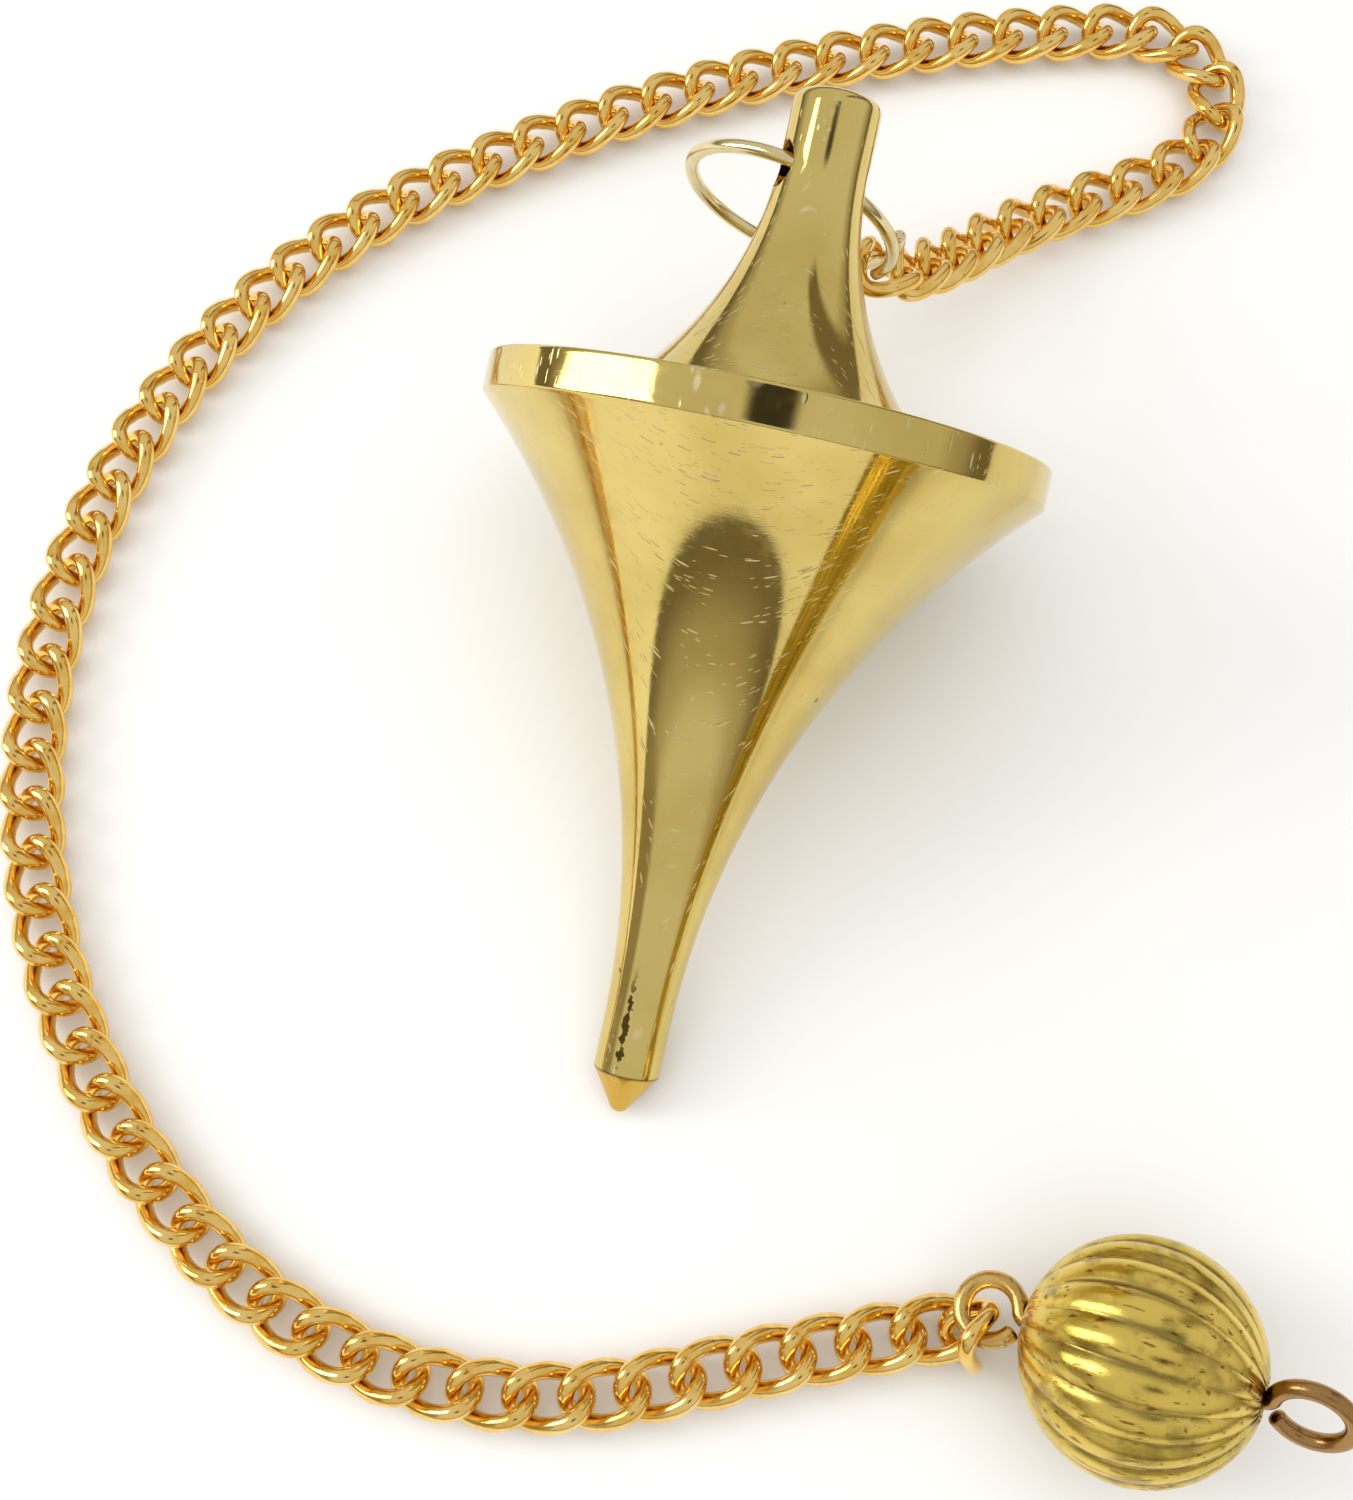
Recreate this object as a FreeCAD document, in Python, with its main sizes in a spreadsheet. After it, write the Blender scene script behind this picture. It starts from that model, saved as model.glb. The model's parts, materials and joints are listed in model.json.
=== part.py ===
"""A small brass plumb bob on a curb chain that ends in a fluted bead, as it lies on a table.

Frame: the origin is the plumb point, the very tip of the bob. +Z is up. +Y is the way the bob points
along the table, from its tip to its neck. The bob rests on the lower edges of its shaft and of its rim.
"""
import FreeCAD, Part
import math
import os
import re

import Sketcher
from FreeCAD import Placement, Rotation, Vector

# Driving dimensions: millimetres, degrees, or a plain count.
SIZES = {
    # turned bob, measured along its own axis from the tip
    "tip_ball_radius": 0.5,
    "tip_half_angle": 33,
    "shaft_radius": 1.5,
    "shaft_top": 4.0,
    "rim_radius": 12.4,
    "rim_bottom": 29.85,
    "rim_height": 1.7,
    "rim_edge_round": 0.2,
    "shoulder_round": 1.2,
    "flare_radius": 14.8,
    "flare_top": 42.5,
    "stem_radius": 1.94,
    "stem_end_round": 0.7,
    "bob_length": 45.4,
    "ring_hole_radius": 0.98,
    "ring_hole_height": 42.0,
    "ring_hole_turn": 20,
    # jump ring: a little over one turn of wire through the neck
    "ring_radius": 5.04,
    "ring_wire_radius": 0.315,
    "ring_lead": 0.72,
    "ring_wound_angle": 395,
    "ring_end_angle": 103,
    "ring_yaw": 14.1,
    "ring_cant": 13.4,
    "ring_hang": 9.8,
    # curb chain: every link is one twisted oval of wire
    "link_wire_radius": 0.38,
    "link_half_length": 1.66,
    "link_half_width": 1.13,
    "link_twist_height": 0.55,
    "link_pitch": 2.4,
    "link_count": 72,
    # chain's path over the table, from the ring round to the bead; the bends are in plan, a negative
    # radius turns right, and the start's height is above the table
    "path_start_x": 2.8,
    "path_start_y": 39.2,
    "path_heading": 48.5,
    "path_start_height": 8.6,
    "path_drop_length": 17.8,
    "leave_ring_radius": 35.6,
    "leave_ring_sweep": 10.8,
    "counter_bend_radius": -21.3,
    "counter_bend_sweep": 27.8,
    "into_loop_radius": 13.2,
    "into_loop_sweep": 18.6,
    "tight_loop_radius": 4.41,
    "tight_loop_sweep": 143.7,
    "back_run_radius": 78.6,
    "back_run_sweep": 28.0,
    "far_side_radius": 33.8,
    "far_side_sweep": 107.1,
    "under_tip_radius": 21.25,
    "under_tip_sweep": 57.6,
    "last_run_radius": -180,
    "last_run_sweep": 4.15,
    # the first link hangs on the ring and the last on the bead's eye, so each has its own pose
    "first_link_x": 3.205,
    "first_link_y": 40.147,
    "first_link_z": 7.552,
    "first_link_yaw": 27.4,
    "first_link_pitch": 37.9,
    "first_link_roll": -8.2,
    "last_link_x": 16.869,
    "last_link_y": -5.859,
    "last_link_z": 1.668,
    "last_link_yaw": 243.3,
    "last_link_pitch": 67.4,
    "last_link_roll": 54,
    # fluted bead, and the wire with an eye at each end that it turns on
    "bead_x": 23.51,
    "bead_y": -5.32,
    "bead_yaw": -6,
    "bead_tilt": 19.1,
    "bead_radius": 5.0,
    "bead_wall": 0.35,
    "bead_mouth_radius": 0.85,
    "flute_count": 20,
    "flute_depth": 0.16,
    "eye_wire_radius": 0.375,
    "eye_neck_radius": 0.45,
    "eye_neck_start": 4.8,
    "chain_eye_radius": 1.25,
    "end_eye_radius": 1.58,
    "end_eye_roll": 60,
    "eye_wound_angle": 314,
    "eye_land_depth": 0.045,
}
BENDS = (
    "leave_ring",
    "counter_bend",
    "into_loop",
    "tight_loop",
    "back_run",
    "far_side",
    "under_tip",
    "last_run",
)
LINKS_PER_PAIR = 2
LINK_CURVE_POINTS = 24
FLUTE_POINTS = 6
BEAD_RIBS = 13

X_AXIS = Vector(1, 0, 0)
Y_AXIS = Vector(0, 1, 0)
Z_AXIS = Vector(0, 0, 1)

doc = FreeCAD.newDocument("plumb_bob")
sheet = doc.addObject("Spreadsheet::Sheet", "sizes")
for row, (alias, value) in enumerate(SIZES.items(), start=1):
    sheet.set(f"A{row}", alias)
    sheet.set(f"B{row}", str(value))
    sheet.setAlias(f"B{row}", alias)
doc.recompute()


def size(alias):
    """The sheet's value for an alias."""
    return float(sheet.get(alias))


def bound(formula):
    """A formula in plain aliases, written so that the document reads them from the sheet."""
    return re.sub(r"[a-z_]+", lambda word: f"sizes.{word[0]}" if word[0] in SIZES else word[0], formula)


def value_of(formula):
    """What a formula in plain aliases is worth now."""
    worth = sheet.evalExpression(bound(formula))
    return float(getattr(worth, "Value", worth))


def origin_feature(body, role):
    """One of a body's own origin planes or axes."""
    return next(item for item in body.Origin.OriginFeatures if item.Role == role)


def polar(radius, degrees):
    """A point of the sketch plane, or of the table's plan, at an angle."""
    angle = math.radians(degrees)
    return Vector(radius * math.cos(angle), radius * math.sin(angle), 0)


# ---------------------------------------------------------------- outline sketches


def place_point(sketch, edge, end, across, along):
    """Hold one end of an edge at a place given by two formulas."""
    if value_of(across) == 0:
        sketch.addConstraint(Sketcher.Constraint("PointOnObject", edge, end, -2))
    else:
        item = sketch.addConstraint(Sketcher.Constraint("DistanceX", -1, 1, edge, end, value_of(across)))
        sketch.setExpression(f"Constraints[{item}]", bound(across))
    if value_of(along) == 0:
        sketch.addConstraint(Sketcher.Constraint("PointOnObject", edge, end, -1))
    else:
        item = sketch.addConstraint(Sketcher.Constraint("DistanceY", -1, 1, edge, end, value_of(along)))
        sketch.setExpression(f"Constraints[{item}]", bound(along))


def arc_between(first, last, radius, bulge):
    """The short arc from one point to another, bulging to the left (+1) or the right (-1) of the way."""
    chord = last - first
    left = Vector(-chord.y, chord.x, 0).normalize()
    rise = radius - math.sqrt(radius**2 - (chord.Length / 2) ** 2)
    return Part.Arc(first, (first + last) / 2 + left * bulge * rise, last)


def draw_outline(sketch, corners, arcs):
    """A closed outline. corners are pairs of formulas, and arcs gives some sides a radius and a bulge."""
    places = [Vector(value_of(across), value_of(along), 0) for across, along in corners]
    starts, ends = [], []
    for side, (first, last) in enumerate(zip(places, places[1:] + places[:1])):
        if side in arcs:
            radius, bulge = arcs[side]
            edge = sketch.addGeometry(arc_between(first, last, value_of(radius), bulge), False)
            forward = (sketch.getPoint(edge, 1) - first).Length < (sketch.getPoint(edge, 2) - first).Length
        else:
            edge = sketch.addGeometry(Part.LineSegment(first, last), False)
            forward = True
        starts.append((edge, 1 if forward else 2))
        ends.append((edge, 2 if forward else 1))
    for side, corner in enumerate(corners):
        sketch.addConstraint(Sketcher.Constraint("Coincident", *ends[side - 1], *starts[side]))
        place_point(sketch, *starts[side], *corner)
    for side, (radius, _) in arcs.items():
        edge = starts[side][0]
        item = sketch.addConstraint(Sketcher.Constraint("Radius", edge, value_of(radius)))
        sketch.setExpression(f"Constraints[{item}]", bound(radius))


def new_sketch(body, name, role):
    """A sketch on one of the body's own origin planes."""
    sketch = body.newObject("Sketcher::SketchObject", name)
    sketch.AttachmentSupport = [(origin_feature(body, role), "")]
    sketch.MapMode = "FlatFace"
    return sketch


def round_edges(body, feature, name, radius, height, round_size):
    """Round the circular edges of a turned body that lie at a radius and a height."""
    doc.recompute()
    chosen = []
    for number, edge in enumerate(feature.Shape.Edges, start=1):
        middle = edge.valueAt((edge.FirstParameter + edge.LastParameter) / 2)
        reach = math.hypot(middle.x, middle.y)
        if abs(reach - value_of(radius)) < 1e-4 and abs(middle.z - value_of(height)) < 1e-4:
            chosen.append(f"Edge{number}")
    fillet = body.newObject("PartDesign::Fillet", name)
    fillet.Base = (feature, chosen)
    fillet.Radius = value_of(round_size)
    fillet.setExpression("Radius", bound(round_size))
    return fillet


# ---------------------------------------------------------------- the turned bob

TIP_TANGENT = ("tip_ball_radius * cos(tip_half_angle)", "tip_ball_radius * (1 - sin(tip_half_angle))")
CONE_TOP = f"{TIP_TANGENT[1]} + (shaft_radius - {TIP_TANGENT[0]}) / tan(tip_half_angle)"
SKIRT_RADIUS = (
    "((rim_bottom - shaft_top) ^ 2 + (rim_radius - shaft_radius) ^ 2)"
    " / (2 * (rim_radius - shaft_radius))"
)
RIM_TOP = "rim_bottom + rim_height"
SHOULDER_RADIUS = (
    "stem_radius + flare_radius"
    " - sqrt(flare_radius ^ 2 - (flare_top - rim_bottom - rim_height) ^ 2)"
)


def lying_angle():
    """How far the bob's axis rises when it rests on its tip and on the lower edge of its rim."""
    ball, edge = size("tip_ball_radius"), size("rim_edge_round")
    across = size("rim_radius") - edge
    along = size("rim_bottom") + edge - ball
    return math.degrees(math.atan2(across, along) - math.asin((ball - edge) / math.hypot(across, along)))


LYING_ANGLE = lying_angle()
BOB_PLACEMENT = Placement(Vector(0, 0, 0), Rotation(X_AXIS, LYING_ANGLE - 90))
TABLE_HEIGHT = -size("tip_ball_radius") * (1 - math.sin(math.radians(LYING_ANGLE)))


def make_bob():
    """The bob: a turned needle tip, a trumpet skirt up to the rim, and a flared neck with a cross hole."""
    body = doc.addObject("PartDesign::Body", "plumb_bob_body")
    body.Label = "plumb_bob"
    profile = new_sketch(body, "bob_profile", "XZ_Plane")
    corners = (
        ("0", "0"),
        TIP_TANGENT,
        ("shaft_radius", CONE_TOP),
        ("shaft_radius", "shaft_top"),
        ("rim_radius", "rim_bottom"),
        ("rim_radius", RIM_TOP),
        (SHOULDER_RADIUS, RIM_TOP),
        ("stem_radius", "flare_top"),
        ("stem_radius", "bob_length"),
        ("0", "bob_length"),
    )
    arcs = {
        0: ("tip_ball_radius", -1),
        3: (SKIRT_RADIUS, 1),
        6: ("flare_radius", 1),
    }
    draw_outline(profile, corners, arcs)
    turned = body.newObject("PartDesign::Revolution", "turned_bob")
    turned.Profile = profile
    turned.ReferenceAxis = (profile, ["V_Axis"])
    turned.Angle = 360
    rounded = round_edges(body, turned, "shoulder_blend", SHOULDER_RADIUS, RIM_TOP, "shoulder_round")
    for name, radius, height, round_size in (
        ("rim_lower_edge", "rim_radius", "rim_bottom", "rim_edge_round"),
        ("rim_upper_edge", "rim_radius", RIM_TOP, "rim_edge_round"),
        ("stem_end_edge", "stem_radius", "bob_length", "stem_end_round"),
    ):
        rounded = round_edges(body, rounded, name, radius, height, round_size)
    drill = new_sketch(body, "ring_hole_circle", "YZ_Plane")
    drill.AttachmentOffset = Placement(Vector(0, 0, 0), Rotation(Y_AXIS, 1))
    drill.setExpression("AttachmentOffset.Rotation.Angle", bound("ring_hole_turn"))
    height, radius = size("ring_hole_height"), size("ring_hole_radius")
    drill.addGeometry(Part.Circle(Vector(0, height, 0), Z_AXIS, radius), False)
    drill.addConstraint(Sketcher.Constraint("PointOnObject", 0, 3, -2))
    item = drill.addConstraint(Sketcher.Constraint("DistanceY", -1, 1, 0, 3, height))
    drill.setExpression(f"Constraints[{item}]", bound("ring_hole_height"))
    item = drill.addConstraint(Sketcher.Constraint("Radius", 0, radius))
    drill.setExpression(f"Constraints[{item}]", bound("ring_hole_radius"))
    doc.recompute()
    before = body.Shape.Volume
    hole = body.newObject("PartDesign::Pocket", "ring_hole")
    hole.Profile = drill
    hole.Type = "ThroughAll"
    hole.Midplane = True
    doc.recompute()
    if not body.Shape.Volume < before - math.pi * radius**2 * size("stem_radius"):
        raise RuntimeError("the neck's cross hole cut nothing")
    body.Placement = BOB_PLACEMENT
    return body


# ---------------------------------------------------------------- the jump ring

HOLE_CENTRE = BOB_PLACEMENT.multVec(Vector(0, 0, size("ring_hole_height")))
HOLE_AXIS = BOB_PLACEMENT.Rotation.multVec(polar(1, size("ring_hole_turn")))


def ring_axes():
    """The ring's own directions: along the wire in the hole, down to the ring's centre, and its axis."""
    swung = Rotation(Z_AXIS, size("ring_yaw")) * Rotation(Y_AXIS, size("ring_cant"))
    swung = BOB_PLACEMENT.Rotation * swung * Rotation(X_AXIS, -size("ring_hang"))
    return (swung.multVec(axis) for axis in (X_AXIS, Y_AXIS, Z_AXIS))


def make_ring():
    """The jump ring: a little over one turn of wire, its ends side by side."""
    along, down, axis = ring_axes()
    path = doc.addObject("Part::Helix", "ring_path")
    path.LocalCoord = "Left-handed"
    path.setExpression("Radius", bound("ring_radius"))
    path.setExpression("Pitch", bound("ring_lead"))
    path.setExpression("Height", bound("ring_lead * ring_wound_angle / 360"))
    wire = doc.addObject("Part::Circle", "ring_wire_section")
    wire.Placement = Placement(Vector(size("ring_radius"), 0, 0), Rotation(X_AXIS, 90))
    wire.setExpression("Radius", bound("ring_wire_radius"))
    wire.setExpression("Placement.Base.x", bound("ring_radius"))
    ring = doc.addObject("Part::Sweep", "jump_ring_sweep")
    ring.Label = "jump_ring"
    ring.Sections = [wire]
    ring.Spine = (path, [])
    ring.Solid = True
    ring.Frenet = True
    end = math.radians(size("ring_end_angle"))
    start_way = along * math.sin(end) - down * math.cos(end)
    centre = HOLE_CENTRE + down * size("ring_radius")
    centre -= axis * size("ring_lead") * size("ring_end_angle") / 360
    ring.Placement = Placement(centre, Rotation(start_way, axis.cross(start_way), axis, "XYZ"))
    return ring


# ---------------------------------------------------------------- the curb chain


def plan_point(travel):
    """Where the chain's path is in plan after a length of travel, and which way it heads, in radians."""
    spot = Vector(size("path_start_x"), size("path_start_y"), 0)
    heading = math.radians(size("path_heading"))
    for bend in BENDS:
        radius, sweep = size(f"{bend}_radius"), math.radians(size(f"{bend}_sweep"))
        length = travel if bend == BENDS[-1] else min(travel, abs(radius) * sweep)
        turned = heading + length / radius
        across = math.sin(turned) - math.sin(heading)
        along = math.cos(heading) - math.cos(turned)
        spot += Vector(across, along, 0) * radius
        heading = turned
        travel -= length
        if travel <= 0:
            break
    return spot, heading


def path_point(travel):
    """The chain's middle line: it comes down from the ring in a smooth sag, then lies on the table."""
    spot, _ = plan_point(travel)
    resting = TABLE_HEIGHT + size("link_twist_height") + size("link_wire_radius")
    fall = max(0, 1 - travel / size("path_drop_length")) ** 2
    start = TABLE_HEIGHT + size("path_start_height")
    return spot + Z_AXIS * (resting + (start - resting) * fall)


def chain_pivots(count):
    """The points where neighbouring links bear on each other, one pitch apart in a straight line."""
    pitch = size("link_pitch")
    travels = [0.0]
    for _ in range(count):
        here = path_point(travels[-1])
        low, high = travels[-1] + pitch / 2, travels[-1] + pitch * 1.3
        while high - low > 1e-7:
            middle = (low + high) / 2
            if (path_point(middle) - here).Length < pitch:
                low = middle
            else:
                high = middle
        travels.append(low)
    return [path_point(travel) for travel in travels]


def level_rotation(forward):
    """The rotation that sends X along forward and keeps Y level."""
    side = Z_AXIS.cross(forward)
    return Rotation(forward, side, forward.cross(side), "XYZ")


def own_pose(name):
    """The pose of a link that has its own place and turn in the sheet."""
    place = Vector(size(f"{name}_x"), size(f"{name}_y"), size(f"{name}_z"))
    turn = Rotation(size(f"{name}_yaw"), size(f"{name}_pitch"), size(f"{name}_roll"))
    return Placement(place, turn)


def link_placements():
    """One placement for each link, from the ring to the bead."""
    count = int(size("link_count"))
    pivots = chain_pivots(count - 1)
    poses = [own_pose("first_link")]
    for start, end in zip(pivots[1:], pivots[2:]):
        poses.append(Placement((start + end) / 2, level_rotation(end - start)))
    poses.append(own_pose("last_link"))
    return poses, pivots


def make_link_shape():
    """One curb link: round wire along an oval whose ends are twisted a quarter turn apart."""
    length, width = size("link_half_length"), size("link_half_width")
    twist, wire = size("link_twist_height"), size("link_wire_radius")
    middle = []
    for step in range(LINK_CURVE_POINTS):
        angle = 2 * math.pi * step / LINK_CURVE_POINTS
        oval = Vector(length * math.cos(angle), width * math.sin(angle), 0)
        middle.append(oval - Z_AXIS * twist * math.sin(2 * angle))
    curve = Part.BSplineCurve()
    curve.interpolate(middle, PeriodicFlag=True)
    first, last = curve.FirstParameter, curve.LastParameter
    halves = []
    for begin, end in ((first, (first + last) / 2), ((first + last) / 2, last)):
        section = Part.Circle(curve.value(begin), curve.tangent(begin)[0], wire).toShape()
        half = Part.Wire([Part.Edge(curve, begin, end)])
        halves.append(half.makePipeShell([Part.Wire([section])], True, True))
    return halves[0].fuse(halves[1]).Solids[0]


def make_link_pairs():
    """The chain's links, two to a sub-part, each pair standing for two neighbouring loose links."""
    link = make_link_shape()
    poses, _ = link_placements()
    pairs = []
    for number, first in enumerate(range(0, len(poses), LINKS_PER_PAIR), start=1):
        group = poses[first : first + LINKS_PER_PAIR]
        pair = doc.addObject("Part::Feature", f"link_pair_{number:02d}")
        home = group[0]
        shapes = []
        for pose in group:
            copy = link.copy()
            copy.Placement = home.inverse() * pose
            shapes.append(copy)
        pair.Shape = Part.makeCompound(shapes)
        pair.Placement = home
        pairs.append(pair)
    return pairs


# ---------------------------------------------------------------- the bead and its eye wire

BEAD_PLACEMENT = Placement(
    Vector(size("bead_x"), size("bead_y"), TABLE_HEIGHT + size("bead_radius")),
    Rotation(size("bead_yaw"), -size("bead_tilt"), 0),
)


def fluted_rib(turn):
    """A flat closed curve round the bead at an angle from its pole, with one shallow wave to each flute."""
    turn = math.radians(turn)
    flutes = int(size("flute_count"))
    station = size("bead_radius") * math.cos(turn)
    points = []
    for step in range(flutes * FLUTE_POINTS):
        around = 2 * math.pi * step / (flutes * FLUTE_POINTS)
        groove = (1 - math.cos(flutes * around)) / 2 * math.sin(turn) ** 2
        reach = (size("bead_radius") - size("flute_depth") * groove) * math.sin(turn)
        points.append(Vector(station, reach * math.cos(around), reach * math.sin(around)))
    curve = Part.BSplineCurve()
    curve.interpolate(points, PeriodicFlag=True)
    return Part.Wire([curve.toShape()])


def make_bead():
    """The fluted bead: a thin hollow ball, open at both poles where the eye wire goes through."""
    cap_angle = math.degrees(math.asin(size("bead_mouth_radius") / size("bead_radius"))) / 2
    step = (180 - 2 * cap_angle) / (BEAD_RIBS - 1)
    ribs = [fluted_rib(cap_angle + step * number) for number in range(BEAD_RIBS)]
    skin = doc.addObject("Part::Feature", "bead_skin")
    skin.Shape = Part.makeLoft(ribs, True, False)
    hollow = doc.addObject("Part::Sphere", "bead_hollow")
    hollow.setExpression("Radius", bound("bead_radius - bead_wall"))
    mouth = doc.addObject("Part::Cylinder", "bead_mouth")
    mouth.setExpression("Radius", bound("bead_mouth_radius"))
    mouth.setExpression("Height", bound("2 * bead_radius"))
    mouth.Placement = Placement(Vector(-size("bead_radius"), 0, 0), Rotation(Y_AXIS, 90))
    mouth.setExpression("Placement.Base.x", bound("-bead_radius"))
    opened = doc.addObject("Part::Cut", "opened_bead")
    opened.Base, opened.Tool = skin, mouth
    bead = doc.addObject("Part::Cut", "hollowed_bead")
    bead.Label = "fluted_bead"
    bead.Base, bead.Tool = opened, hollow
    bead.Placement = BEAD_PLACEMENT
    return bead


def eye_path(eye_radius, outward, side):
    """The wire's middle line from the bead out and round one eye, as points for arcs, and its centre."""
    neck, start = size("eye_neck_radius"), size("eye_neck_start")
    reach = start + math.sqrt(eye_radius**2 + 2 * eye_radius * neck)
    neck_centre, eye_centre = Vector(start, neck, 0), Vector(reach, 0, 0)
    meet = neck_centre + (eye_centre - neck_centre) * (neck / (neck + eye_radius))
    meet_angle = math.degrees(math.atan2(meet.y, meet.x - reach))
    neck_middle = neck_centre + polar(neck, (meet_angle - 180 - 90) / 2)
    far = [eye_centre + polar(eye_radius, meet_angle - size("eye_wound_angle") * part) for part in (0.5, 1)]
    flat = [Vector(start, 0, 0), neck_middle, meet, *far, eye_centre]
    return [outward * point.x + side * point.y for point in flat]


def eye_edges(points):
    """The neck arc and the eye arc through the points of eye_path."""
    start, neck_middle, meet, far, end, _ = points
    return Part.Arc(start, neck_middle, meet).toShape(), Part.Arc(meet, far, end).toShape()


def make_eye_wire():
    """One wire through the bead, bent round into an eye for the chain and an eye at the free end."""
    roll = math.radians(size("end_eye_roll"))
    rolled = Y_AXIS * math.cos(roll) + Z_AXIS * math.sin(roll)
    chain_eye = eye_path(size("chain_eye_radius"), -X_AXIS, Y_AXIS)
    end_eye = eye_path(size("end_eye_radius"), X_AXIS, rolled)
    chain_neck, chain_loop = eye_edges(chain_eye)
    end_neck, end_loop = eye_edges(end_eye)
    shank = Part.makeLine(chain_eye[0], end_eye[0])
    path = doc.addObject("Part::Feature", "eye_wire_path")
    path.Shape = Part.Wire(Part.sortEdges([chain_loop, chain_neck, shank, end_neck, end_loop])[0])
    first = path.Shape.OrderedEdges[0]
    start = path.Shape.OrderedVertexes[0].Point
    way = first.tangentAt(first.FirstParameter)
    section = doc.addObject("Part::Circle", "eye_wire_section")
    section.setExpression("Radius", bound("eye_wire_radius"))
    section.Placement = Placement(start, Rotation(Z_AXIS, way))
    wire = doc.addObject("Part::Sweep", "bent_wire")
    wire.Sections = [section]
    wire.Spine = (path, [])
    wire.Solid = True
    wire.Frenet = False
    land = doc.addObject("Part::Cylinder", "end_eye_land")
    land.setExpression("Radius", bound("end_eye_radius - eye_wire_radius + eye_land_depth"))
    land.setExpression("Height", bound("2 * eye_wire_radius"))
    axis = X_AXIS.cross(rolled)
    land.Placement = Placement(end_eye[-1] - axis * size("eye_wire_radius"), Rotation(Z_AXIS, axis))
    eyes = doc.addObject("Part::Cut", "reamed_wire")
    eyes.Label = "eye_wire"
    eyes.Base, eyes.Tool = wire, land
    eyes.Placement = BEAD_PLACEMENT
    return eyes


# ---------------------------------------------------------------- building and export


def check_document():
    """Stop if any object of the document failed."""
    for item in doc.Objects:
        if {"Invalid", "Error"} & set(item.State):
            raise RuntimeError(f"{item.Name} failed: {item.State}")


def export(sub_parts):
    """Write each sub-part to its own STEP file, named after its label."""
    os.makedirs("parts", exist_ok=True)
    for sub_part in sub_parts:
        shape = sub_part.Shape
        if shape.isNull() or not shape.isValid() or not shape.Solids:
            raise RuntimeError(f"{sub_part.Label} has no valid solid")
    for sub_part in sub_parts:
        sub_part.Shape.exportStep(os.path.join("parts", f"{sub_part.Label}.step"))


sub_parts = [make_bob(), make_ring(), *make_link_pairs(), make_eye_wire(), make_bead()]
doc.recompute()
check_document()
export(sub_parts)
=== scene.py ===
"""Looks of a small brass plumb bob on a curb chain with a fluted bead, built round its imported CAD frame.

Lengths below are millimetres in each piece's own frame, and are turned to metres when a mesh is made.
"""
import json
import math

import bmesh
import bpy
import numpy as np
from mathutils import Matrix, Quaternion, Vector


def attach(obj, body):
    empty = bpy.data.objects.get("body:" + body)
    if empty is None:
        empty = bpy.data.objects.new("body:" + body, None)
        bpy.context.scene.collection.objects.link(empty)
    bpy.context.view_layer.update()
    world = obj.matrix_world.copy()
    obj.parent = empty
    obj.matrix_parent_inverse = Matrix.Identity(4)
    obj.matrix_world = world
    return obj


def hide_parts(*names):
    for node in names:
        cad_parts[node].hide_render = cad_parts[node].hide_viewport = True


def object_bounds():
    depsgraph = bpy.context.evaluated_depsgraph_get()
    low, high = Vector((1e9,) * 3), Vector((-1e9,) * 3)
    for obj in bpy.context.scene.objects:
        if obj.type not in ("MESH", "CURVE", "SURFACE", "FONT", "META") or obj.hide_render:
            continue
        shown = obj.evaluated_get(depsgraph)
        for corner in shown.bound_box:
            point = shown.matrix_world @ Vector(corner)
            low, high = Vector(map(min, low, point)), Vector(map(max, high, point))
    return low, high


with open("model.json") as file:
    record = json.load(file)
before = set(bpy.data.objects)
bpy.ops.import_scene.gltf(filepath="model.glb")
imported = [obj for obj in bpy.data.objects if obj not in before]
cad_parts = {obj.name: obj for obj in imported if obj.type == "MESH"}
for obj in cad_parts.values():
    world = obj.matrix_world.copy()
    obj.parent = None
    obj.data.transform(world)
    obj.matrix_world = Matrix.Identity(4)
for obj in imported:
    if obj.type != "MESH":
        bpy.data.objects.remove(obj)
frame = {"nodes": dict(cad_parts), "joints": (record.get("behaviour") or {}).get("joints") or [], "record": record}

CAD_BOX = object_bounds()
MM = 0.001
JOINTS = {joint["name"]: joint for joint in frame["joints"]}
MOUNTS = {mount["name"]: mount for mount in frame["record"]["mounts"]}

# turned bob, along its own axis from the tip
TIP_BALL_RADIUS = 0.5
TIP_HALF_ANGLE = math.radians(33)
SHAFT_RADIUS = 1.5
SHAFT_TOP = 4.0
CONE_LINE = 1.89
RIM_RADIUS = 12.4
RIM_BOTTOM = 29.85
RIM_TOP = 31.55
RIM_EDGE_ROUND = 0.16
SHOULDER_ROUND = 1.2
FLARE_RADIUS = 14.8
FLARE_TOP = 42.5
STEM_RADIUS = 1.94
STEM_END_ROUND = 0.62
BOB_LENGTH = 45.4
HOLE_RADIUS = 0.98
HOLE_HEIGHT = 42.0
HOLE_TURN = math.radians(20)
HOLE_FLARE = 0.5
TURNING_STEPS = 288

# jump ring
RING_RADIUS = 5.04
RING_WIRE = 0.315
RING_LEAD = 0.72
RING_START = math.radians(68)
RING_END = math.radians(463)
RING_YAW = math.radians(14.1)
RING_CANT = math.radians(13.4)
RING_HANG = math.radians(9.8)

# one curb link
LINK_WIRE = 0.38
LINK_HALF_LENGTH = 1.66
LINK_HALF_WIDTH = 1.13
LINK_TWIST = 0.55
LINK_STEPS = 72
LINK_SIDES = 18
SEAM_SWELL = 0.045
SEAM_WIDTH = 0.13

# fluted bead and its eye wire
BEAD_RADIUS = 5.0
BEAD_WALL = 0.3
BEAD_MOUTH = 0.85
FLUTES = 20
FLUTE_DEPTH = 0.2
EYE_WIRE = 0.375
EYE_NECK_RADIUS = 0.45
EYE_NECK_START = 4.8
CHAIN_EYE_RADIUS = 1.25
END_EYE_RADIUS = 1.58
END_EYE_ROLL = math.radians(60)
EYE_WOUND = math.radians(314)

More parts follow.
